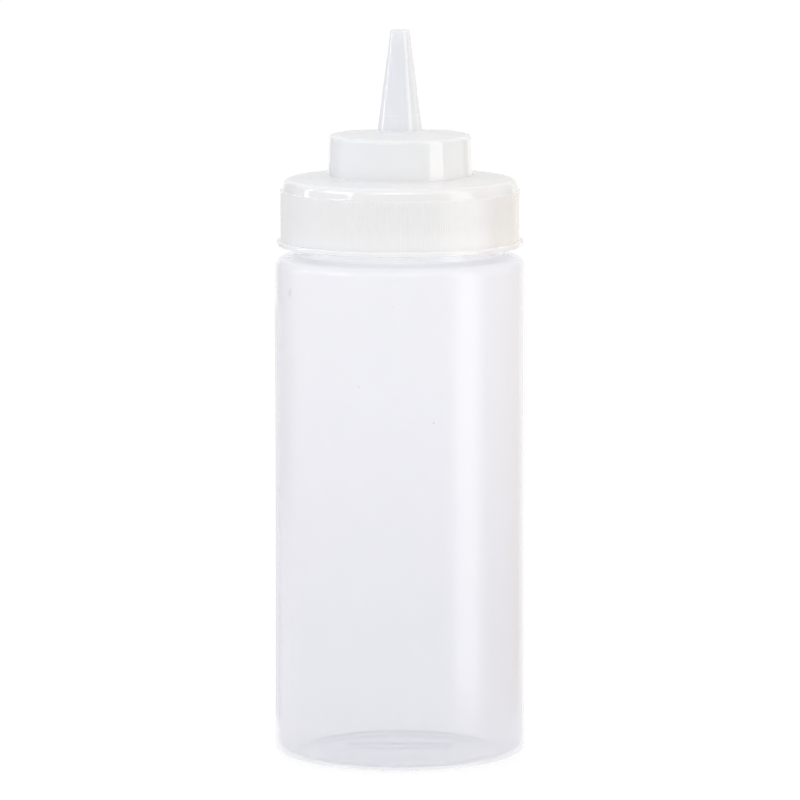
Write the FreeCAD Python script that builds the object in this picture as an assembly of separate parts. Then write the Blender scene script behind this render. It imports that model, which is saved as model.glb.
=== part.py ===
"""Wide-mouth squeeze bottle for sauces: a blow-moulded body and a screw cap with a cone nozzle.

Millimetres, +Z up. The origin is the centre of the foot ring, on the surface the bottle stands on.
Every round piece is a closed outline of (radius, height, corner radius) turned about the Z axis.
"""
import FreeCAD, Part
import math
import os

# ---- body, blow moulded in soft natural polyethylene
body_diameter = 70.0
shoulder_height = 142.4     # from the table to the root of the neck
foot_flare = 0.11           # the wall stands out this much at the foot, where the base stiffens it
shoulder_flare = 0.2        # and this much under the shoulder
waist_low = 55.0            # the wall is straight between these two heights
waist_high = 92.0
shoulder_radius = 3.2
shoulder_rise = 1.2         # the shoulder climbs this much from the wall to the neck
body_wall = 1.1

# ---- base: a low heel, a narrow foot ring and a raised floor with the ridge of the pinched tube
heel_height = 1.8
heel_reach = 5.7            # the heel slopes in this far from the wall to the foot ring
heel_radius = 2.5           # rounding between the wall and the heel
heel_blend = 15.0           # rounding between the heel and the foot ring
foot_ring_width = 5.0
floor_rise = 1.6            # the floor inside the foot ring is this much above the table
floor_slope = 1.5           # width of the slope from the foot ring up to the floor
floor_wall = 1.3
pinch_ridge_length = 31.0
pinch_ridge_width = 0.9
pinch_ridge_height = 0.5    # on both faces of the floor

# ---- neck and its thread
neck_diameter = 59.2        # outside of the neck, between the threads
neck_undercut = 1.0         # the plain band below the threads is this much further in
neck_root_height = 3.0      # height of that band
neck_height = 20.0          # from the shoulder to the rim
neck_wall = 1.6
thread_pitch = 4.2
thread_turns = 1.25
thread_height = 1.4
thread_root_width = 2.3
thread_crest_width = 1.1
thread_start = 8.2          # middle of the thread's lower end, above the shoulder
thread_sunk = 0.4           # how far the thread is rooted in its wall

# ---- cap
thread_clearance = 0.4      # between a thread's crest and the wall that it runs along
skirt_wall = 1.9            # from the inside of the skirt to the bottom of the grooves
top_wall = 2.0
collar_gap = 2.35           # the skirt ends this far above the shoulder
flange_reach = 1.08         # the flange stands out this much from the ribs
flange_thickness = 1.5
flange_radius = 0.7
rib_count = 300
rib_depth = 0.3
rib_band_height = 14.1      # from the flange to the ledge below the dome
rib_ledge = 0.35            # the ribs stand out this much from the foot of the dome
dome_lean = 0.95            # the dome's side leans in this much
dome_radius = 2.6
dome_fall = 0.95            # the dome falls this much from the turret to its rounded edge

# ---- turret and nozzle, moulded in one piece with the cap
turret_diameter = 40.7      # at its foot
turret_lean = 0.5           # its side leans in this much
turret_height = 11.45       # from the dome to its rounded edge
turret_radius = 1.2
turret_crown = 1.1          # its top rises this much from the edge to the nozzle
turret_wall = 1.7
nozzle_root_diameter = 12.7
nozzle_tip_diameter = 5.4
nozzle_length = 28.3
nozzle_wall = 1.3
nozzle_bore_diameter = 3.9  # at the tip; the bore widens with the cone
nozzle_rings = (4.5, 20.0)  # heights of two fine steps round the cone, above the turret
nozzle_ring_step = 0.06
small_radius = 0.5

# ---- worked out from the sizes above
body_r = body_diameter / 2
neck_r = neck_diameter / 2
rim_z = shoulder_height + neck_height
skirt_inner_r = neck_r + thread_height + thread_clearance
groove_r = skirt_inner_r + skirt_wall
rib_r = groove_r + rib_depth
skirt_bottom_z = shoulder_height + collar_gap
flange_top_z = skirt_bottom_z + flange_thickness
rib_top_z = flange_top_z + rib_band_height
dome_z = rim_z + top_wall
turret_edge_z = dome_z + turret_height
nozzle_z = turret_edge_z + turret_crown
tip_z = nozzle_z + nozzle_length


def corner_arc(before, corner, after, radius):
    """Start, middle and end of the arc that rounds a corner, no larger than its two sides allow."""
    to_before = before - corner
    to_after = after - corner
    half = to_before.getAngle(to_after) / 2
    room = 0.49 * min(to_before.Length, to_after.Length)
    reach = min(radius / math.tan(half), room)
    radius = reach * math.tan(half)
    to_before.normalize()
    to_after.normalize()
    inward = (to_before + to_after).normalize()
    centre = corner + inward * (radius / math.sin(half))
    return corner + to_before * reach, centre - inward * radius, corner + to_after * reach


def turned(outline):
    """A solid of revolution about Z from a closed outline of (radius, height, corner radius)."""
    corners = [FreeCAD.Vector(r, 0, z) for r, z, _ in outline]
    edges = []
    first = pen = None
    for i, (_, _, rounding) in enumerate(outline):
        before = corners[i - 1]
        corner = corners[i]
        after = corners[(i + 1) % len(corners)]
        start = end = corner
        if rounding:
            start, middle, end = corner_arc(before, corner, after, rounding)
        if pen is None:
            first = start
        else:
            edges.append(Part.LineSegment(pen, start).toShape())
        if rounding:
            edges.append(Part.Arc(start, middle, end).toShape())
        pen = end
    edges.append(Part.LineSegment(pen, first).toShape())
    face = Part.Face(Part.Wire(edges))
    return face.revolve(FreeCAD.Vector(0, 0, 0), FreeCAD.Vector(0, 0, 1), 360)


def thread(wall_r, outwards, start_z):
    """One run of thread on a wall, its crest pointing outwards (1) or inwards (-1)."""
    root = wall_r - outwards * thread_sunk
    crest = wall_r + outwards * thread_height
    half_root = thread_root_width / 2
    half_crest = thread_crest_width / 2
    section = Part.makePolygon([
        FreeCAD.Vector(root, 0, -half_root),
        FreeCAD.Vector(crest, 0, -half_crest),
        FreeCAD.Vector(crest, 0, half_crest),
        FreeCAD.Vector(root, 0, half_root),
        FreeCAD.Vector(root, 0, -half_root),
    ])
    helix = Part.makeHelix(thread_pitch, thread_pitch * thread_turns, wall_r)
    run = Part.Wire(helix).makePipeShell([section], True, True)
    run.translate(FreeCAD.Vector(0, 0, start_z))
    return run


def bottle():
    """The hollow body, open at the neck."""
    foot_r = body_r + foot_flare
    shoulder_r = body_r + shoulder_flare
    ring_outer_r = foot_r - heel_reach
    ring_inner_r = ring_outer_r - foot_ring_width
    floor_r = ring_inner_r - floor_slope
    neck_root_r = neck_r - neck_undercut
    bore_r = neck_r - neck_wall
    root_bore_r = neck_root_r - neck_wall
    shoulder_edge_z = shoulder_height - shoulder_rise
    band_z = shoulder_height + neck_root_height
    outside = [
        (0, floor_rise, 0),
        (floor_r, floor_rise, small_radius),
        (ring_inner_r, 0, small_radius),
        (ring_outer_r, 0, heel_blend),
        (foot_r, heel_height, heel_radius),
        (body_r, waist_low, 0),
        (body_r, waist_high, 0),
        (shoulder_r, shoulder_edge_z, shoulder_radius),
        (neck_root_r, shoulder_height, small_radius),
        (neck_root_r, band_z, 0),
        (neck_r, band_z + neck_undercut, 0),
        (neck_r, rim_z, small_radius),
    ]
    inside = [
        (bore_r, rim_z, small_radius),
        (bore_r, band_z + neck_undercut, 0),
        (root_bore_r, band_z, 0),
        (root_bore_r, shoulder_height - neck_wall, small_radius),
        (shoulder_r - body_wall, shoulder_edge_z - body_wall, shoulder_radius - body_wall),
        (body_r - body_wall, waist_high, 0),
        (body_r - body_wall, waist_low, 0),
        (foot_r - body_wall, heel_height + floor_wall, heel_radius),
        (ring_outer_r, floor_wall, small_radius),
        (ring_inner_r + floor_wall, floor_wall, small_radius),
        (floor_r + floor_wall, floor_rise + floor_wall, small_radius),
        (0, floor_rise + floor_wall, 0),
    ]
    shell = turned(outside + inside)
    ridge_thickness = floor_wall + 2 * pinch_ridge_height
    corner = FreeCAD.Vector(-pinch_ridge_length / 2, -pinch_ridge_width / 2, floor_rise - pinch_ridge_height)
    ridge = Part.makeBox(pinch_ridge_length, pinch_ridge_width, ridge_thickness, corner)
    run = thread(neck_r, 1, shoulder_height + thread_start)
    return shell.fuse([ridge, run]).removeSplitter()


def rib_band():
    """The grip: a disc whose edge is a zigzag of fine upright ribs, rooted in the flange."""
    step = math.pi / rib_count
    bottom_z = flange_top_z - flange_thickness / 2
    points = []
    for i in range(2 * rib_count):
        r = rib_r if i % 2 == 0 else groove_r
        points.append(FreeCAD.Vector(r * math.cos(i * step), r * math.sin(i * step), bottom_z))
    points.append(points[0])
    face = Part.Face(Part.makePolygon(points))
    return face.extrude(FreeCAD.Vector(0, 0, rib_top_z - bottom_z))


def cap():
    """Skirt, dome, turret and nozzle in one piece, hollow from the skirt to the tip."""
    flange_r = rib_r + flange_reach
    dome_foot_r = rib_r - rib_ledge
    turret_root_r = turret_diameter / 2
    turret_edge_r = turret_root_r - turret_lean
    nozzle_root_r = nozzle_root_diameter / 2
    nozzle_tip_r = nozzle_tip_diameter / 2
    bore_r = nozzle_bore_diameter / 2
    taper = (nozzle_root_r - nozzle_tip_r) / nozzle_length
    low_ring, high_ring = nozzle_rings
    low_ring_r = nozzle_root_r - taper * low_ring
    high_ring_r = nozzle_root_r - taper * high_ring
    outside = [
        (0, skirt_bottom_z, 0),
        (flange_r, skirt_bottom_z, flange_radius),
        (flange_r, flange_top_z, flange_radius),
        (groove_r, flange_top_z, 0),
        (groove_r, rib_top_z, 0),
        (dome_foot_r, rib_top_z, 0),
        (dome_foot_r - dome_lean, dome_z - dome_fall, dome_radius),
        (turret_root_r, dome_z, small_radius),
        (turret_edge_r, turret_edge_z, turret_radius),
        (nozzle_root_r, nozzle_z, small_radius),
        (low_ring_r + nozzle_ring_step, nozzle_z + low_ring, 0),
        (low_ring_r, nozzle_z + low_ring, 0),
        (high_ring_r, nozzle_z + high_ring, 0),
        (high_ring_r - nozzle_ring_step, nozzle_z + high_ring, 0),
        (nozzle_tip_r, tip_z, small_radius),
        (0, tip_z, 0),
    ]
    over = top_wall     # the inside is cut past both open ends
    inside = [
        (0, skirt_bottom_z - over, 0),
        (skirt_inner_r, skirt_bottom_z - over, 0),
        (skirt_inner_r, rim_z, 0),
        (turret_root_r - turret_wall, rim_z, small_radius),
        (turret_edge_r - turret_wall, turret_edge_z - turret_wall, turret_radius),
        (nozzle_root_r - nozzle_wall, nozzle_z - turret_wall, small_radius),
        (bore_r, tip_z, 0),
        (bore_r, tip_z + over, 0),
        (0, tip_z + over, 0),
    ]
    shell = turned(outside).fuse(rib_band()).cut(turned(inside))
    run = thread(skirt_inner_r, -1, shoulder_height + thread_start - thread_pitch / 2)
    return shell.fuse(run).removeSplitter()


def write(name, solid):
    """One STEP file for a node, after a check that it is one valid closed solid."""
    if not solid.isValid() or len(solid.Solids) != 1:
        raise ValueError(f"{name} is not one valid solid")
    solid.Solids[0].exportStep(os.path.join("parts", name + ".step"))
    print(name, "volume", round(solid.Volume), "mm3")


os.makedirs("parts", exist_ok=True)
write("bottle", bottle())
write("cap", cap())
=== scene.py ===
import math
import bmesh
import bpy
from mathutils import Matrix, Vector


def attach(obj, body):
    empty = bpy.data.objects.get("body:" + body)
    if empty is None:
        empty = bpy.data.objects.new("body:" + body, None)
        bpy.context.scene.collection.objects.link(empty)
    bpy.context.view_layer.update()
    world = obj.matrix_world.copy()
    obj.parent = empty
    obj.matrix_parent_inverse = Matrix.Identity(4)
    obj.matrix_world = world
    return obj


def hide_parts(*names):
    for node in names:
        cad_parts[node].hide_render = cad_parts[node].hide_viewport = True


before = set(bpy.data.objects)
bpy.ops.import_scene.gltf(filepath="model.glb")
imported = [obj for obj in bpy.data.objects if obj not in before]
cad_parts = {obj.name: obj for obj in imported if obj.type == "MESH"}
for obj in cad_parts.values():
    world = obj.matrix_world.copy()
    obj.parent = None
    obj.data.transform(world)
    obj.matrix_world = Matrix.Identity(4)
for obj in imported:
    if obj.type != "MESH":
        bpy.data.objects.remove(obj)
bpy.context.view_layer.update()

# A squeeze bottle in natural polyethylene, with its screw cap and cone nozzle. Metres, +Z up.
mm = 0.001
white = (1, 1, 1, 1)
scene = bpy.context.scene
scene.view_settings.view_transform = "Standard"

# How outlines become rows of points, in mm and degrees. A bend under plainBend stays as it is, an
# unrounded corner gets softEdge, and a corner takes at most sideShare of its shorter side.
look = {
    "plainBend": 8.0, "softEdge": 0.1, "sideShare": 0.42, "stepDegrees": 14, "support": 0.3,
    "threadStep": 0.33, "longest": 8.0, "mergeWithin": 0.002,
}


# Outlines are lists of (radius, height, corner radius, what the stretch after the corner carries), in mm.
def roundCorner(before, corner, after, radius):
    toBefore = before - corner
    toAfter = after - corner
    half = toBefore.angle(toAfter) / 2
    most = look["sideShare"] * min(toBefore.length, toAfter.length)
    reach = min(radius / math.tan(half), most)
    radius = reach * math.tan(half)
    toBefore.normalize()
    toAfter.normalize()
    centre = corner + (toBefore + toAfter).normalized() * (radius / math.sin(half))
    spoke = corner + toBefore * reach - centre
    last = corner + toAfter * reach - centre
    turn = math.atan2(spoke.x * last.y - spoke.y * last.x, spoke.dot(last))
    steps = max(2, math.ceil(abs(math.degrees(turn)) / look["stepDegrees"]))
    points = []
    for i in range(steps + 1):
        a = turn * i / steps
        points.append(centre + Vector((
            spoke.x * math.cos(a) - spoke.y * math.sin(a),
            spoke.x * math.sin(a) + spoke.y * math.cos(a))))
    return points


def ringRows(outline, closed):
    # rows of (radius, height, rib share, thread share), with rounded corners and a support row beside each
    corners = [Vector((r, z)) for r, z, _, _ in outline]
    count = len(outline)
    arcs = []
    for i, (_, _, rounding, _) in enumerate(outline):
        if not closed and i in (0, count - 1):
            arcs.append([corners[i]])
            continue
        before = corners[i - 1]
        after = corners[(i + 1) % count]
        bend = math.degrees((corners[i] - before).angle(after - corners[i]))
        if bend < look["plainBend"]:
            arcs.append([corners[i]])
        else:
            arcs.append(roundCorner(before, corners[i], after, rounding or look["softEdge"]))
    rows = []
    for i, arc in enumerate(arcs):
        carries = outline[i][3]
        came = outline[i - 1][3] if (closed or i) else ""
        for p in arc:
            rib = 1.0 if "rib" in (carries, came) else 0.0
            rows.append((p.x, p.y, rib, 0.0))
        if not closed and i == count - 1:
            break
        start = arc[-1]
        end = arcs[(i + 1) % count][0]
        run = end - start
        step = look["threadStep"] if carries.startswith("thread") else look["longest"]
        marks = []
        if run.length > 3 * look["support"]:
            marks = [look["support"] / run.length, 1 - look["support"] / run.length]
        steps = math.ceil(run.length / step)
        marks += [k / steps for k in range(1, steps)]
        thread = {"threadOut": 1.0, "threadIn": -1.0}.get(carries, 0.0)
        rib = 1.0 if carries == "rib" else 0.0
        for t in sorted(set(marks)):
            p = start + run * t
            rows.append((p.x, p.y, rib, thread))
    return rows


class Wiring:
    # short calls for adding and joining nodes, which lie in lanes across the editor
    across, down, lanes = 170, 120, 5

    def __init__(self, tree):
        self.tree = tree
        self.column = 0

    def add(self, kind, inputs=None, **settings):
        node = self.tree.nodes.new(kind)
        node.location = (self.column * self.across, -(self.column % self.lanes) * self.down)
        self.column += 1
        for name, value in settings.items():
            setattr(node, name, value)
        for key, value in (inputs or {}).items():
            self.put(value, node.inputs[key])
        return node

    def put(self, value, socket):
        if isinstance(value, bpy.types.NodeSocket):
            self.tree.links.new(value, socket)
        else:
            socket.default_value = value

    def math(self, operation, a, b=0.0, c=0.0, clamp=False):
        node = self.add("ShaderNodeMath", {0: a, 1: b, 2: c}, operation=operation, use_clamp=clamp)
        return node.outputs[0]

    def whole(self, operation, a, b):
        return self.add("FunctionNodeIntegerMath", {0: a, 1: b}, operation=operation).outputs[0]

    def vector(self, operation, a, b=None):
        inputs = {0: a} if b is None else {0: a, 1: b}
        node = self.add("ShaderNodeVectorMath", inputs, operation=operation)
        return node.outputs["Value"] if operation == "LENGTH" else node.outputs[0]

    def mix(self, share, first, second):
        # share 0 gives the first colour and share 1 the second
        return self.add("ShaderNodeMix", {0: share, 6: first, 7: second}, data_type="RGBA").outputs[2]

    def noise(self, at, scale, detail):
        return self.add("ShaderNodeTexNoise", {"Vector": at, "Scale": scale, "Detail": detail}).outputs[0]

    def hump(self, offset):
        # 1 where the offset is 0, falling to 0 where it is 1 or more either way
        return self.math("SUBTRACT", 1.0, self.math("MULTIPLY", offset, offset), clamp=True)


def emptyNodes(owner):
    # a material or a world with its nodes cleared, ready to be wired
    owner.use_nodes = True
    owner.node_tree.nodes.clear()
    return Wiring(owner.node_tree)


def buildTurningTree():
    # the tree that turns an outline about Z, with ribs and a thread by rule
    tree = bpy.data.node_groups.new("turnedWithRibsAndThread", "GeometryNodeTree")
    kinds = {
        "Outline": "Geometry", "Fine segments": "Int", "Coarse step": "Int", "Segments per rib": "Int",
        "Rib depth": "Float", "Thread start": "Float", "Thread pitch": "Float", "Thread turns": "Float",
        "Thread height": "Float", "Thread root": "Float", "Thread crest": "Float", "Thread run-out": "Float",
        "Material": "Material",
    }
    for name, kind in kinds.items():
        tree.interface.new_socket(name, in_out="INPUT", socket_type="NodeSocket" + kind)
    tree.interface.new_socket("Mesh", in_out="OUTPUT", socket_type="NodeSocketGeometry")
    w = Wiring(tree)
    given = w.add("NodeGroupInput").outputs
    outline = given["Outline"]
    rowCount = w.add("GeometryNodeAttributeDomainSize", {"Geometry": outline}).outputs["Point Count"]
    columns = w.whole("ADD", given["Fine segments"], 1)
    grid = w.add("GeometryNodeMeshGrid", {"Vertices X": columns, "Vertices Y": rowCount}).outputs["Mesh"]
    index = w.add("GeometryNodeInputIndex").outputs[0]
    column = w.whole("DIVIDE", index, rowCount)
    row = w.whole("SUBTRACT", index, w.whole("MULTIPLY", column, rowCount))

    def fromRow(value, kind):
        inputs = {"Geometry": outline, "Index": row}
        node = w.add("GeometryNodeSampleIndex", inputs, data_type=kind, domain="POINT")
        w.put(value, node.inputs["Value"])
        return node.outputs["Value"]

    def rowValue(name):
        found = w.add("GeometryNodeInputNamedAttribute", {"Name": name}, data_type="FLOAT")
        return fromRow(found.outputs["Attribute"], "FLOAT")

    position = w.add("GeometryNodeInputPosition").outputs[0]
    place = w.add("ShaderNodeSeparateXYZ", {0: fromRow(position, "FLOAT_VECTOR")})
    radius = place.outputs[0]
    height = place.outputs[2]
    ribShare = rowValue("ribShare")
    threadShare = rowValue("threadShare")

    # away from the ribs the columns gather in groups, so that only the ribbed rows stay fine
    groupNumber = w.math("ROUND", w.math("DIVIDE", column, given["Coarse step"]))
    coarse = w.math("MULTIPLY", groupNumber, given["Coarse step"])
    fine = w.math("GREATER_THAN", ribShare, 0.0)
    side = w.math("ADD", w.math("MULTIPLY", fine, w.math("SUBTRACT", column, coarse)), coarse)
    turn = w.math("DIVIDE", side, given["Fine segments"])
    angle = w.math("MULTIPLY", turn, 2 * math.pi)

    # ribs: a rounded wave between the groove and the crest
    ribTurn = w.math("DIVIDE", column, given["Segments per rib"])
    wave = w.math("COSINE", w.math("MULTIPLY", ribTurn, 2 * math.pi))
    crest = w.math("MULTIPLY_ADD", wave, 0.5, 0.5)
    ribRise = w.math("MULTIPLY", w.math("MULTIPLY", crest, ribShare), given["Rib depth"])

    # thread: the nearest turn of the helix lifts the wall, and both of its ends run out
    climbed = w.math("DIVIDE", w.math("SUBTRACT", height, given["Thread start"]), given["Thread pitch"])
    lap = w.math("ROUND", w.math("SUBTRACT", climbed, turn))
    along = w.math("ADD", lap, turn)
    offTurn = w.math("ABSOLUTE", w.math("SUBTRACT", climbed, along))
    away = w.math("MULTIPLY", offTurn, given["Thread pitch"])
    halfRoot = w.math("MULTIPLY", given["Thread root"], 0.5)
    halfCrest = w.math("MULTIPLY", given["Thread crest"], 0.5)
    flank = w.math("SUBTRACT", halfRoot, halfCrest)
    body = w.math("DIVIDE", w.math("SUBTRACT", halfRoot, away), flank, clamp=True)
    intoRun = w.math("DIVIDE", along, given["Thread run-out"], clamp=True)
    leftToRun = w.math("SUBTRACT", given["Thread turns"], along)
    outOfRun = w.math("DIVIDE", leftToRun, given["Thread run-out"], clamp=True)
    ends = w.math("MULTIPLY", intoRun, outOfRun)
    threadHeight = w.math("MULTIPLY", given["Thread height"], threadShare)
    threadRise = w.math("MULTIPLY", w.math("MULTIPLY", body, ends), threadHeight)

    reach = w.math("ADD", radius, w.math("ADD", ribRise, threadRise))
    spot = w.add("ShaderNodeCombineXYZ", {
        0: w.math("MULTIPLY", reach, w.math("COSINE", angle)),
        1: w.math("MULTIPLY", reach, w.math("SINE", angle)),
        2: height,
    })
    shaped = w.add("GeometryNodeSetPosition", {"Geometry": grid, "Position": spot.outputs[0]})
    near = look["mergeWithin"] * mm
    merged = w.add("GeometryNodeMergeByDistance", {"Geometry": shaped.outputs[0], "Distance": near})
    smooth = w.add("GeometryNodeSetShadeSmooth", {"Geometry": merged.outputs[0]})
    real = w.add("GeometryNodeRealizeInstances", {"Geometry": smooth.outputs[0]})
    finished = w.add("GeometryNodeSetMaterial", {"Geometry": real.outputs[0], "Material": given["Material"]})
    w.add("NodeGroupOutput", {"Mesh": finished.outputs[0]})
    return tree


def turnOutline(name, rows, closed, values, tree, material):
    # the outline becomes a string of points, the tree turns it, and the result is kept as a plain mesh
    if closed:
        rows = rows + rows[:1]
    mesh = bpy.data.meshes.new(name + "Outline")
    mesh.from_pydata([(r * mm, 0, z * mm) for r, z, _, _ in rows], [], [])
    for label, place in (("ribShare", 2), ("threadShare", 3)):
        layer = mesh.attributes.new(label, "FLOAT", "POINT")
        layer.data.foreach_set("value", [row[place] for row in rows])
    source = bpy.data.objects.new(name + "Outline", mesh)
    scene.collection.objects.link(source)
    modifier = source.modifiers.new("turned", "NODES")
    modifier.node_group = tree
    given = {**values, "Material": material}
    for item in tree.interface.items_tree:
        if item.in_out == "INPUT" and item.name in given:
            modifier[item.identifier] = given[item.name]
    bpy.context.view_layer.update()
    ready = source.evaluated_get(bpy.context.evaluated_depsgraph_get())
    final = bpy.data.meshes.new_from_object(ready)
    bpy.data.objects.remove(source)
    final.name = name
    piece = bpy.data.objects.new(name, final)
    scene.collection.objects.link(piece)
    return piece


# How both plastics vary over their surface. Noise scales are per metre, and shares run from 0 to 1.
grain = {
    "cloudDetail": 3.0, "streakDetail": 2.0, "streakStretch": (1.0, 1.0, 0.06),
    "loosest": 0.3, "tightest": 0.7, "pinchPower": 4.0, "fadePower": 3.0, "speckEdge": 1.3, "speckShare": 0.8,
    "smudgeShape": (1.6, 1.0, 1.0), "smudgeScale": 900.0, "smudgeDetail": 2.0, "smudgeBreak": 0.9,
    "fineScale": 2600.0, "fineDetail": 2.0, "waveScale": 90.0, "waveDetail": 1.0,
    "waveShare": 0.6, "streakShare": 0.25,
}


def buildMouldedGroup():
    # colour drift, fine vertical drawing lines and a soft skin, for both plastics, with a colour that changes
    # with height, a darker ring and pinch line, specks and a smudge; the ring and the body's darkening lower
    # down are partly painted shade
    group = bpy.data.node_groups.new("mouldedPolyethylene", "ShaderNodeTree")
    kinds = {
        "Color": ("Thin", "Thick", "Deep", "Speck"),
        "Vector": ("Smudge at",),
        "Float": (
            "Thick at", "Thin at", "Drift", "Cloud scale", "Streak scale", "Streak",
            "Roughness", "Roughness drift", "Skin",
            "Deep share", "Ring radius", "Ring width", "Ring floor", "Ring height", "Ring fade",
            "Pinch length", "Pinch width", "Pinch share",
            "Speck scale", "Speck size", "Smudge share", "Smudge size",
        ),
    }
    for kind, names in kinds.items():
        for name in names:
            group.interface.new_socket(name, in_out="INPUT", socket_type="NodeSocket" + kind)
    for name, kind in {"Color": "Color", "Roughness": "Float", "Height": "Float"}.items():
        group.interface.new_socket(name, in_out="OUTPUT", socket_type="NodeSocket" + kind)
    w = Wiring(group)
    given = w.add("NodeGroupInput").outputs
    at = w.add("ShaderNodeTexCoord").outputs["Object"]
    place = w.add("ShaderNodeSeparateXYZ", {0: at}).outputs

    # clouds and lines drawn along the wall, and a colour from Thin to Thick with height: on the body deeper
    # lower down, partly for the thicker wall and partly as painted shade; on the cap deeper towards the
    # nozzle
    cloud = w.noise(at, given["Cloud scale"], grain["cloudDetail"])
    drawn = w.add("ShaderNodeMapping", {"Vector": at, "Scale": grain["streakStretch"]})
    streak = w.noise(drawn.outputs[0], given["Streak scale"], grain["streakDetail"])
    cloudShare = w.math("SUBTRACT", 1.0, given["Streak"])
    drift = w.math("ADD", w.math("MULTIPLY", streak, given["Streak"]), w.math("MULTIPLY", cloud, cloudShare))
    heightShare = w.add("ShaderNodeMapRange", {
        "Value": place[2], "From Min": given["Thin at"], "From Max": given["Thick at"],
    }).outputs[0]
    loose = w.add("ShaderNodeMapRange", {
        "Value": drift, "From Min": grain["loosest"], "From Max": grain["tightest"],
    }).outputs[0]
    swing = w.math("SUBTRACT", loose, 0.5)
    share = w.math("ADD", heightShare, w.math("MULTIPLY", swing, given["Drift"]), clamp=True)
    colour = w.mix(share, given["Thin"], given["Thick"])

    # the ring where the wall steps, fading towards the sides at ±X: painted shade where the base meets the
    # floor, partly also the thicker plastic there; on the cap it paints shade on the flange
    radius = w.vector("LENGTH", w.vector("MULTIPLY", at, (1.0, 1.0, 0.0)))
    ring = w.hump(w.math("DIVIDE", w.math("SUBTRACT", radius, given["Ring radius"]), given["Ring width"]))
    ring = w.math("MULTIPLY", ring, w.math("GREATER_THAN", place[2], given["Ring floor"]))
    offSide = w.math("ABSOLUTE", w.math("DIVIDE", place[0], given["Ring radius"]))
    fade = w.math("MULTIPLY", w.math("POWER", offSide, grain["fadePower"]), given["Ring fade"])
    ring = w.math("MULTIPLY", ring, w.math("SUBTRACT", 1.0, fade, clamp=True))

    # the line where the base was pinched shut, fading at its ends
    pinch = w.hump(w.math("DIVIDE", place[1], given["Pinch width"]))
    offEnd = w.math("ABSOLUTE", w.math("DIVIDE", w.math("MULTIPLY", place[0], 2.0), given["Pinch length"]))
    ends = w.math("SUBTRACT", 1.0, w.math("POWER", offEnd, grain["pinchPower"]), clamp=True)
    pinch = w.math("MULTIPLY", pinch, ends)

    # both are deeper in colour, up to the ring's height; the ring's darkening is painted shade
    ringShadeShare = w.math("MULTIPLY", ring, given["Deep share"])
    pinchShare = w.math("MULTIPLY", pinch, given["Pinch share"])
    low = w.math("LESS_THAN", place[2], given["Ring height"])
    deep = w.math("MULTIPLY", w.math("MAXIMUM", ringShadeShare, pinchShare), low)
    deeper = w.mix(deep, colour, given["Deep"])

    # a few dark specks in the plastic, and one faint smudge
    grit = w.add("ShaderNodeTexVoronoi", {"Vector": at, "Scale": given["Speck scale"]}).outputs["Distance"]
    reach = w.math("MULTIPLY", given["Speck size"], given["Speck scale"])
    speck = w.math("SUBTRACT", grain["speckEdge"], w.math("DIVIDE", grit, reach), clamp=True)
    speck = w.math("MULTIPLY", speck, grain["speckShare"])
    away = w.vector("SUBTRACT", at, given["Smudge at"])
    apart = w.vector("LENGTH", w.vector("MULTIPLY", away, grain["smudgeShape"]))
    broken = w.noise(at, grain["smudgeScale"], grain["smudgeDetail"])
    smudge = w.math("SUBTRACT", 1.0, w.math("DIVIDE", apart, given["Smudge size"]))
    smudge = w.math("SUBTRACT", smudge, w.math("MULTIPLY", broken, grain["smudgeBreak"]), clamp=True)
    dirt = w.math("MAXIMUM", speck, w.math("MULTIPLY", smudge, given["Smudge share"]), clamp=True)
    marked = w.mix(dirt, deeper, given["Speck"])

    # the skin's relief and gloss
    rough = w.math("ADD", given["Roughness"], w.math("MULTIPLY", swing, given["Roughness drift"]))
    fine = w.noise(at, grain["fineScale"], grain["fineDetail"])
    wave = w.noise(at, grain["waveScale"], grain["waveDetail"])
    broad = w.math("MULTIPLY", wave, grain["waveShare"])
    lines = w.math("MULTIPLY", streak, grain["streakShare"])
    height = w.math("ADD", w.math("MULTIPLY", fine, given["Skin"]), w.math("ADD", broad, lines))
    w.add("NodeGroupOutput", {"Color": marked, "Roughness": rough, "Height": height})
    return group


def buildPlastic(name, finish, group):
    # light goes straight through the thin wall, scatters in it, and shines on a clear skin
    material = bpy.data.materials.new(name)
    w = emptyNodes(material)
    moulded = w.add("ShaderNodeGroup", node_tree=group)
    for key, value in finish["moulded"].items():
        w.put(value, moulded.inputs[key])
    bump = w.add("ShaderNodeBump", {
        "Strength": finish["bump"], "Distance": finish["bumpDepth"] * mm, "Height": moulded.outputs["Height"],
    })
    skin = w.add("ShaderNodeBsdfPrincipled", {
        "Base Color": moulded.outputs["Color"], "Roughness": moulded.outputs["Roughness"],
        "Normal": bump.outputs[0], "IOR": finish["ior"], "Transmission Weight": finish["clear"],
        "Subsurface Weight": finish["scatter"], "Subsurface Radius": finish["scatterTint"],
        "Subsurface Scale": finish["scatterDepth"] * mm,
        "Coat Weight": finish["coat"], "Coat IOR": finish["coatIor"], "Coat Roughness": finish["gloss"],
    })
    skin.subsurface_method = "RANDOM_WALK"
    # out of the wall again, tinted once more
    within = w.add("ShaderNodeBsdfTransparent", {"Color": moulded.outputs["Color"]})
    inside = w.add("ShaderNodeNewGeometry").outputs["Backfacing"]
    wall = w.add("ShaderNodeMixShader", {0: inside, 1: skin.outputs[0], 2: within.outputs[0]})
    w.add("ShaderNodeOutputMaterial", {"Surface": wall.outputs[0]})
    return material


mouldedGroup = buildMouldedGroup()
turningTree = buildTurningTree()
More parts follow.
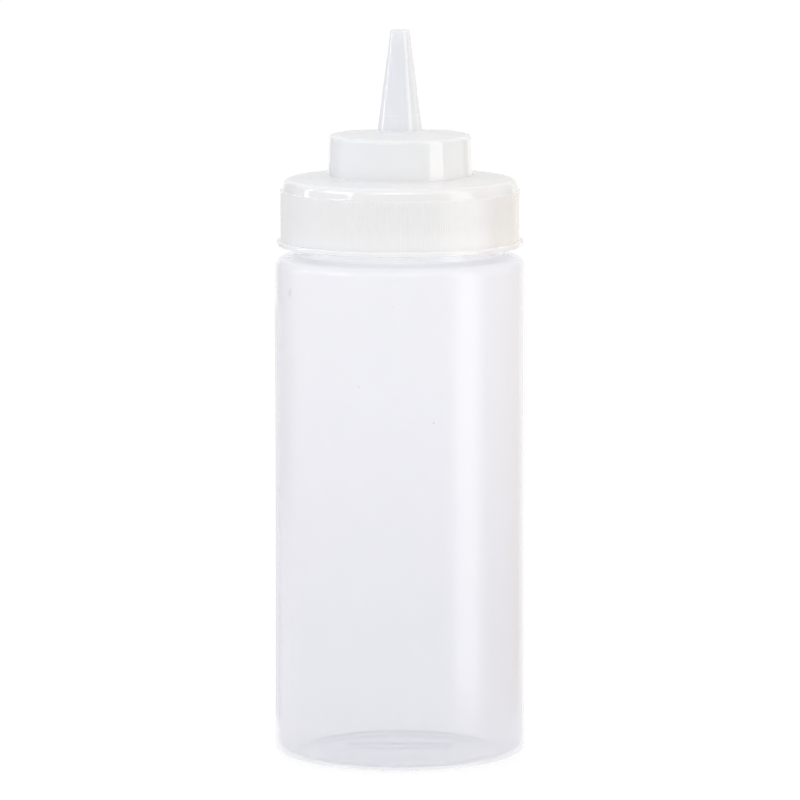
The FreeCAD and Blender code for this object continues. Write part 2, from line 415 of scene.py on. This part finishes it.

# The body. Lengths are metres in the moulded part and mm elsewhere. The ring is the step under the base,
# darkened as painted shade where the base meets the floor, partly also for the thicker plastic there.
bottleFinish = {
    "moulded": {
        # Thin to Thick: the colour deepens lower down, partly for the thicker wall and partly as painted
        # shade
        "Thin": (0.960, 0.962, 0.980, 1), "Thick": (0.915, 0.917, 0.942, 1),
        "Thick at": 0.04, "Thin at": 0.142,
        "Drift": 0.12, "Cloud scale": 24.0, "Streak scale": 120.0, "Streak": 0.4,
        "Roughness": 0.24, "Roughness drift": 0.05, "Skin": 0.15,
        # Deep paints shade into the ring under the base, and darkens the pinch line
        "Deep": (0.30, 0.32, 0.38, 1), "Deep share": 0.16, "Ring fade": 1.0,
        "Ring radius": 0.0243, "Ring width": 0.0009, "Ring floor": 0.0012, "Ring height": 0.0045,
        "Pinch length": 0.031, "Pinch width": 0.0006, "Pinch share": 0.03,
        "Speck": (0.42, 0.34, 0.30, 1), "Speck scale": 100.0, "Speck size": 0.00022,
        "Smudge share": 0.7, "Smudge at": (-0.0306, -0.0170, 0.1332), "Smudge size": 0.0028,
    },
    "bump": 0.25, "bumpDepth": 0.05, "ior": 1.01, "scatter": 1.0, "scatterTint": (1.0, 1.0, 1.0),
    "scatterDepth": 1.0, "clear": 0.84, "coat": 0.9, "coatIor": 1.5, "gloss": 0.25,
}
bottlePlastic = buildPlastic("naturalBottlePlastic", bottleFinish, mouldedGroup)

bottleSizes = {
    "bodyDiameter": 70.0, "shoulderHeight": 142.4, "footFlare": 0.11, "shoulderFlare": 0.19,
    "waistLow": 55.0, "waistHigh": 92.0, "shoulderRadius": 3.2, "shoulderRise": 1.2, "wall": 1.1,
    "heelHeight": 1.8, "heelReach": 5.7, "heelRadius": 2.5, "heelBlend": 15.0,
    "footRing": 5.0, "floorRise": 1.6, "floorSlope": 1.5, "floorWall": 1.3,
    "neckDiameter": 59.2, "neckUndercut": 1.0, "neckRoot": 3.0, "neckHeight": 20.0, "neckWall": 1.6,
    "threadPitch": 4.2, "threadTurns": 1.25, "threadHeight": 1.4, "threadRootWidth": 2.3,
    "threadCrestWidth": 1.1, "threadStart": 8.2, "runOut": 0.04, "small": 0.5, "segments": 360,
}


def bottleOutline(s):
    bodyR = s["bodyDiameter"] / 2
    footR = bodyR + s["footFlare"]
    shoulderR = bodyR + s["shoulderFlare"]
    ringOuter = footR - s["heelReach"]
    ringInner = ringOuter - s["footRing"]
    floorR = ringInner - s["floorSlope"]
    neckR = s["neckDiameter"] / 2
    rootR = neckR - s["neckUndercut"]
    edgeZ = s["shoulderHeight"] - s["shoulderRise"]
    bandZ = s["shoulderHeight"] + s["neckRoot"]
    rimZ = s["shoulderHeight"] + s["neckHeight"]
    low = s["shoulderHeight"] + s["threadStart"] - s["threadRootWidth"]
    high = low + s["threadPitch"] * s["threadTurns"] + 2 * s["threadRootWidth"]
    wall = s["wall"]
    floor = s["floorWall"]
    small = s["small"]
    return [
        (0, s["floorRise"], 0, ""),
        (floorR, s["floorRise"], small, ""),
        (ringInner, 0, small, ""),
        (ringOuter, 0, s["heelBlend"], ""),
        (footR, s["heelHeight"], s["heelRadius"], ""),
        (bodyR, s["waistLow"], 0, ""),
        (bodyR, s["waistHigh"], 0, ""),
        (shoulderR, edgeZ, s["shoulderRadius"], ""),
        (rootR, s["shoulderHeight"], small, ""),
        (rootR, bandZ, 0, ""),
        (neckR, bandZ + s["neckUndercut"], 0, ""),
        (neckR, low, 0, "threadOut"),
        (neckR, high, 0, ""),
        (neckR, rimZ, small, ""),
        (neckR - s["neckWall"], rimZ, small, ""),
        (neckR - s["neckWall"], bandZ + s["neckUndercut"], 0, ""),
        (rootR - s["neckWall"], bandZ, 0, ""),
        (rootR - s["neckWall"], s["shoulderHeight"] - s["neckWall"], small, ""),
        (shoulderR - wall, edgeZ - wall, s["shoulderRadius"] - wall, ""),
        (bodyR - wall, s["waistHigh"], 0, ""),
        (bodyR - wall, s["waistLow"], 0, ""),
        (footR - wall, s["heelHeight"] + floor, s["heelRadius"], ""),
        (ringOuter, floor, small, ""),
        (ringInner + floor, floor, small, ""),
        (floorR + floor, s["floorRise"] + floor, small, ""),
        (0, s["floorRise"] + floor, 0, ""),
    ]


def threadInputs(s, start):
    return {
        "Thread start": start * mm, "Thread pitch": s["threadPitch"] * mm, "Thread turns": s["threadTurns"],
        "Thread height": s["threadHeight"] * mm, "Thread root": s["threadRootWidth"] * mm,
        "Thread crest": s["threadCrestWidth"] * mm, "Thread run-out": s["runOut"],
    }


bottleThread = bottleSizes["shoulderHeight"] + bottleSizes["threadStart"]
bottleInputs = threadInputs(bottleSizes, bottleThread)
bottleInputs.update({
    "Fine segments": bottleSizes["segments"], "Coarse step": 1, "Segments per rib": 1, "Rib depth": 0.0,
})
bottleRows = ringRows(bottleOutline(bottleSizes), False)
bottle = turnOutline("squeezeBody", bottleRows, False, bottleInputs, turningTree, bottlePlastic)
print("bottle turned", len(bottle.data.polygons), "faces")

# The cap, whiter and glossier, with no pinch line or smudge. Here the ring is the flange at the foot of the
# skirt, darkened as painted shade.
capFinish = {
    "moulded": {
        "Thin": (0.970, 0.978, 0.996, 1), "Thick": (0.862, 0.880, 0.922, 1),
        "Thick at": 0.185, "Thin at": 0.15,
        "Drift": 0.12, "Cloud scale": 40.0, "Streak scale": 200.0, "Streak": 0.1,
        "Roughness": 0.08, "Roughness drift": 0.04, "Skin": 0.2,
        # Deep paints shade on the flange, which is the ring here
        "Deep": (0.80, 0.805, 0.82, 1), "Deep share": 0.8, "Ring fade": 0.0,
        "Ring radius": 0.0353, "Ring width": 0.0014, "Ring floor": 0.1440, "Ring height": 0.1464,
        "Speck": (0.42, 0.34, 0.30, 1), "Speck scale": 90.0, "Speck size": 0.0002,
    },
    "bump": 0.05, "bumpDepth": 0.04, "ior": 1.01, "scatter": 1.0, "scatterTint": (1.0, 1.0, 1.0),
    "scatterDepth": 1.0, "clear": 0.12, "coat": 1.0, "coatIor": 1.5, "gloss": 0.04,
}
capPlastic = buildPlastic("naturalCapPlastic", capFinish, mouldedGroup)

capSizes = {
    "threadClearance": 0.4, "skirtWall": 1.9, "topWall": 2.0, "collarGap": 2.35, "flangeReach": 1.08,
    "flangeThickness": 1.5, "flangeRadius": 0.7,
    "ribs": 300, "segmentsPerRib": 4, "ribOut": 0.3, "ribDepth": 0.08, "ribBand": 14.1, "ribLedge": 0.35,
    "domeLean": 0.95, "domeRadius": 2.6, "domeFall": 0.95, "seat": 0.05,
    "turretDiameter": 40.7, "turretLean": 0.5, "turretHeight": 11.45, "turretRadius": 1.2, "turretCrown": 1.1,
    "turretWall": 1.7,
    "nozzleRoot": 12.7, "nozzleTip": 5.4, "nozzleLength": 28.3, "nozzleWall": 1.3, "bore": 3.9,
    "rings": (4.5, 20.0), "ringStep": 0.06, "small": 0.5, "boreEdge": 0.15,
}


def capOutline(s, b):
    # s holds the cap's own sizes and b the bottle's
    innerR = b["neckDiameter"] / 2 + b["threadHeight"] + s["threadClearance"]
    ribR = innerR + s["skirtWall"] + s["ribOut"]
    grooveR = ribR - s["ribDepth"]
    flangeR = ribR + s["flangeReach"]
    bottomZ = b["shoulderHeight"] + s["collarGap"]
    flangeZ = bottomZ + s["flangeThickness"]
    ribZ = flangeZ + s["ribBand"]
    rimZ = b["shoulderHeight"] + b["neckHeight"]
    domeZ = rimZ + s["topWall"]
    footR = ribR - s["ribLedge"]
    turretR = s["turretDiameter"] / 2
    edgeR = turretR - s["turretLean"]
    edgeZ = domeZ + s["turretHeight"]
    nozzleZ = edgeZ + s["turretCrown"]
    rootR = s["nozzleRoot"] / 2
    tipR = s["nozzleTip"] / 2
    tipZ = nozzleZ + s["nozzleLength"]
    taper = (rootR - tipR) / s["nozzleLength"]
    lowRing, highRing = s["rings"]
    lowR = rootR - taper * lowRing
    highR = rootR - taper * highRing
    wall = s["turretWall"]
    small = s["small"]
    low = b["shoulderHeight"] + b["threadStart"] - b["threadPitch"] / 2 - b["threadRootWidth"]
    high = low + b["threadPitch"] * b["threadTurns"] + 2 * b["threadRootWidth"]
    return [
        (innerR, bottomZ, 0, ""),
        (flangeR, bottomZ, s["flangeRadius"], ""),
        (flangeR, flangeZ, s["flangeRadius"], ""),
        (grooveR, flangeZ, 0, "rib"),
        (grooveR, ribZ, 0, ""),
        (footR, ribZ, 0, ""),
        (footR - s["domeLean"], domeZ - s["domeFall"], s["domeRadius"], ""),
        (turretR, domeZ, small, ""),
        (edgeR, edgeZ, s["turretRadius"], ""),
        (rootR, nozzleZ, small, ""),
        (lowR + s["ringStep"], nozzleZ + lowRing, 0, ""),
        (lowR, nozzleZ + lowRing, 0, ""),
        (highR, nozzleZ + highRing, 0, ""),
        (highR - s["ringStep"], nozzleZ + highRing, 0, ""),
        (tipR, tipZ, small, ""),
        (s["bore"] / 2, tipZ, s["boreEdge"], ""),
        (rootR - s["nozzleWall"], nozzleZ - wall, small, ""),
        (edgeR - wall, edgeZ - wall, s["turretRadius"], ""),
        (turretR - wall, rimZ + s["seat"], small, ""),
        (innerR, rimZ + s["seat"], 0, ""),
        (innerR, high, 0, "threadIn"),
        (innerR, low, 0, ""),
    ]


# the cap's thread lies half a pitch below the bottle's
capThread = bottleThread - bottleSizes["threadPitch"] / 2
capInputs = threadInputs(bottleSizes, capThread)
capInputs.update({
    "Fine segments": capSizes["ribs"] * capSizes["segmentsPerRib"], "Coarse step": capSizes["segmentsPerRib"],
    "Segments per rib": capSizes["segmentsPerRib"], "Rib depth": capSizes["ribDepth"] * mm,
})
capRows = ringRows(capOutline(capSizes, bottleSizes), True)
cap = turnOutline("nozzleCap", capRows, True, capInputs, turningTree, capPlastic)
print("cap turned", len(cap.data.polygons), "faces")

pinchSizes = {
    "length": 31.0, "width": 0.9, "height": 0.5, "stations": 24, "around": 8,
    "endSwell": 0.12, "endPower": 8, "sunk": 0.4,
}


def buildPinchLine(s, b):
    # a low rounded ridge where the base was pinched shut, above and below the floor and a little sunk in it
    halfLength = s["length"] / 2 * mm
    halfWidth = s["width"] / 2 * mm
    mesh = bpy.data.meshes.new("pinchLine")
    shape = bmesh.new()
    for level, way in ((b["floorRise"] + b["floorWall"], 1), (b["floorRise"], -1)):
        rings = []
        for i in range(s["stations"] + 1):
            t = 2 * i / s["stations"] - 1
            swell = max(s["endSwell"], math.sqrt(max(0.0, 1 - t ** s["endPower"])))
            ring = []
            for k in range(s["around"]):
                a = 2 * math.pi * k / s["around"]
                rise = max(math.sin(a), -s["sunk"]) * s["height"] * swell
                spot = (t * halfLength, math.cos(a) * halfWidth * swell, (level + way * rise) * mm)
                ring.append(shape.verts.new(spot))
            rings.append(ring)
        for first, second in zip(rings, rings[1:]):
            for k in range(s["around"]):
                shape.faces.new((first[k], first[k - 1], second[k - 1], second[k]))
        shape.faces.new(rings[0])
        shape.faces.new(rings[-1][::-1])
    bmesh.ops.recalc_face_normals(shape, faces=shape.faces)
    shape.to_mesh(mesh)
    shape.free()
    mesh.materials.append(bottlePlastic)
    for face in mesh.polygons:
        face.use_smooth = True
    piece = bpy.data.objects.new("pinchLine", mesh)
    scene.collection.objects.link(piece)
    return piece


pinch = buildPinchLine(pinchSizes, bottleSizes)
pieces = (
    (bottle, "bottle", "body_plastic"),
    (pinch, "bottle", "body_plastic"),
    (cap, "cap", "cap_plastic"),
)
for piece, node, slot in pieces:
    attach(piece, "root")
    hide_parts(node)

# Floor, world, lamps, boards and camera. The floor and the world are white to the camera.
room = {
    "floorHalf": 6.0, "floorGlow": 0.88,
    "floorColour": (0.92, 0.92, 0.92, 1), "seenColour": (0.14, 0.14, 0.14, 1),
    "ambient": 1.02, "leftTint": (0.955, 0.965, 1.0, 1), "rightTint": (1.0, 0.935, 0.865, 1),
    "tintFrom": 0.1, "tintTo": 0.95, "farShade": 0.2, "farFrom": 0.75, "farTo": 0.95,
}


def buildPanel(name, corners, material):
    mesh = bpy.data.meshes.new(name)
    mesh.from_pydata(corners, [], [(0, 1, 2, 3)])
    mesh.materials.append(material)
    panel = bpy.data.objects.new(name, mesh)
    scene.collection.objects.link(panel)
    return panel


def buildFloor():
    material = bpy.data.materials.new("paleFloor")
    w = emptyNodes(material)
    path = w.add("ShaderNodeLightPath").outputs
    mirrored = w.math("MAXIMUM", path["Is Glossy Ray"], path["Is Transmission Ray"])
    seen = w.math("MAXIMUM", path["Is Camera Ray"], mirrored)
    paint = w.add("ShaderNodeBsdfDiffuse", {"Color": w.mix(seen, room["floorColour"], room["seenColour"])})
    glowStrength = w.math("MULTIPLY", seen, room["floorGlow"])
    glow = w.add("ShaderNodeEmission", {"Color": white, "Strength": glowStrength})
    both = w.add("ShaderNodeAddShader", {0: paint.outputs[0], 1: glow.outputs[0]})
    w.add("ShaderNodeOutputMaterial", {"Surface": both.outputs[0]})
    half = room["floorHalf"]
    corners = [(-half, -half, 0), (half, -half, 0), (half, half, 0), (-half, half, 0)]
    floor = buildPanel("floor", corners, material)


def buildWorld():
    # tinted at the sides and a little darker far behind; plain white to the camera
    world = bpy.data.worlds.new("studio")
    scene.world = world
    w = emptyNodes(world)
    path = w.add("ShaderNodeLightPath").outputs
    direction = w.add("ShaderNodeSeparateXYZ", {0: w.add("ShaderNodeTexCoord").outputs["Generated"]}).outputs
    colour = white
    for sign, tint in ((1, room["rightTint"]), (-1, room["leftTint"])):
        toSide = w.add("ShaderNodeMapRange", {
            "Value": direction[0], "From Min": room["tintFrom"] * sign, "From Max": room["tintTo"] * sign,
        })
        colour = w.mix(toSide.outputs[0], colour, tint)
    behind = w.add("ShaderNodeMapRange", {
        "Value": direction[1], "From Min": room["farFrom"], "From Max": room["farTo"],
    }).outputs[0]
    shade = w.math("MULTIPLY", behind, room["farShade"])
    strength = w.math("MULTIPLY", w.math("SUBTRACT", 1.0, shade), room["ambient"])
    ambient = w.add("ShaderNodeBackground", {"Color": colour, "Strength": strength})
    backdrop = w.add("ShaderNodeBackground", {"Color": white, "Strength": 1.0})
    mixed = w.add("ShaderNodeMixShader", {
        0: path["Is Camera Ray"], 1: ambient.outputs[0], 2: backdrop.outputs[0],
    })
    w.add("ShaderNodeOutputWorld", {"Surface": mixed.outputs[0]})


# Lamps that only shine. Azimuth 0 is where the camera stands and +90 is +X. Degrees and metres.
warm = (1.0, 0.985, 0.97)
cool = (0.97, 0.98, 1.0)
plain = (1.0, 1.0, 1.0)
lamps = {
    "rightBox": {
        "azimuth": 56.3, "elevation": 0, "distance": 0.12, "width": 0.047, "height": 0.36,
        "radiance": 2.5, "colour": warm, "aimHeight": 0.182,
    },
    "leftBox": {
        "azimuth": -67, "elevation": 33, "distance": 0.6, "width": 0.34, "height": 0.20,
        "radiance": 4.0, "colour": cool, "aimHeight": 0.17,
    },
    "leftSliver": {
        "azimuth": -104, "elevation": 16, "distance": 0.6, "width": 0.06, "height": 0.3,
        "radiance": 5.0, "colour": cool, "aimHeight": 0.17,
    },
    "frontBox": {
        "azimuth": 0, "elevation": 44, "distance": 0.45, "width": 0.40, "height": 0.10,
        "radiance": 4.0, "colour": plain, "aimHeight": 0.2,
    },
}


def hangLamp(name, lamp):
    # the lamp faces the height on the axis that it is aimed at
    a = math.radians(lamp["azimuth"])
    e = math.radians(lamp["elevation"])
    light = bpy.data.lights.new(name, "AREA")
    light.shape = "RECTANGLE"
    light.size = lamp["width"]
    light.size_y = lamp["height"]
    light.energy = lamp["radiance"] * math.pi * lamp["width"] * lamp["height"]
    light.color = lamp["colour"]
    holder = bpy.data.objects.new(name, light)
    target = Vector((0, 0, lamp["aimHeight"]))
    away = Vector((math.sin(a) * math.cos(e), -math.cos(a) * math.cos(e), math.sin(e)))
    holder.location = target + away * lamp["distance"]
    holder.rotation_euler = away.to_track_quat("Z", "Y").to_euler()
    holder.visible_camera = False
    holder.visible_transmission = False
    holder.visible_diffuse = False
    scene.collection.objects.link(holder)


# Upright boards that only show as reflections in the plastic, from the floor up. Degrees and metres.
boards = {
    "leftBoard": {
        "azimuth": -131, "distance": 0.5, "width": 0.38, "height": 0.4, "colour": (0.3, 0.3, 0.32, 1),
    },
    "leftNearBoard": {
        "azimuth": -136, "distance": 0.08, "width": 0.042, "height": 0.12, "colour": (0.62, 0.62, 0.65, 1),
    },
    "rightBoard": {
        "azimuth": 130, "distance": 0.5, "width": 0.18, "height": 0.4, "colour": (0.5, 0.5, 0.5, 1),
    },
    "warmBoard": {
        "azimuth": 101, "distance": 0.1, "width": 0.1, "height": 0.154, "colour": (0.62, 0.40, 0.10, 1),
    },
}


def standBoard(name, board):
    material = bpy.data.materials.new(name)
    w = emptyNodes(material)
    glow = w.add("ShaderNodeEmission", {"Color": board["colour"], "Strength": 1.0})
    w.add("ShaderNodeOutputMaterial", {"Surface": glow.outputs[0]})
    a = math.radians(board["azimuth"])
    centre = Vector((math.sin(a), -math.cos(a), 0)) * board["distance"]
    side = Vector((math.cos(a), math.sin(a), 0)) * board["width"] / 2
    high = Vector((0, 0, board["height"]))
    corners = [centre - side, centre + side, centre + side + high, centre - side + high]
    holder = buildPanel(name, corners, material)
    holder.visible_camera = False
    holder.visible_diffuse = False
    holder.visible_transmission = False
    holder.visible_shadow = False


# A long lens that looks slightly down. Metres and degrees, with the lens and the sensor in mm.
viewpoint = {
    "distance": 2.173, "height": 0.3762, "tilt": 7.22, "lens": 350.46, "sensor": 36.0, "farthest": 50.0,
}


def placeCamera(v):
    data = bpy.data.cameras.new("camera")
    data.lens = v["lens"]
    data.sensor_width = v["sensor"]
    data.clip_end = v["farthest"]
    camera = bpy.data.objects.new("camera", data)
    camera.location = (0, -v["distance"], v["height"])
    camera.rotation_euler = (math.radians(90 - v["tilt"]), 0, 0)
    scene.collection.objects.link(camera)
    scene.camera = camera


buildFloor()
buildWorld()
for name, lamp in lamps.items():
    hangLamp(name, lamp)
for name, board in boards.items():
    standBoard(name, board)
placeCamera(viewpoint)
print("stage ready")

bpy.context.view_layer.update()
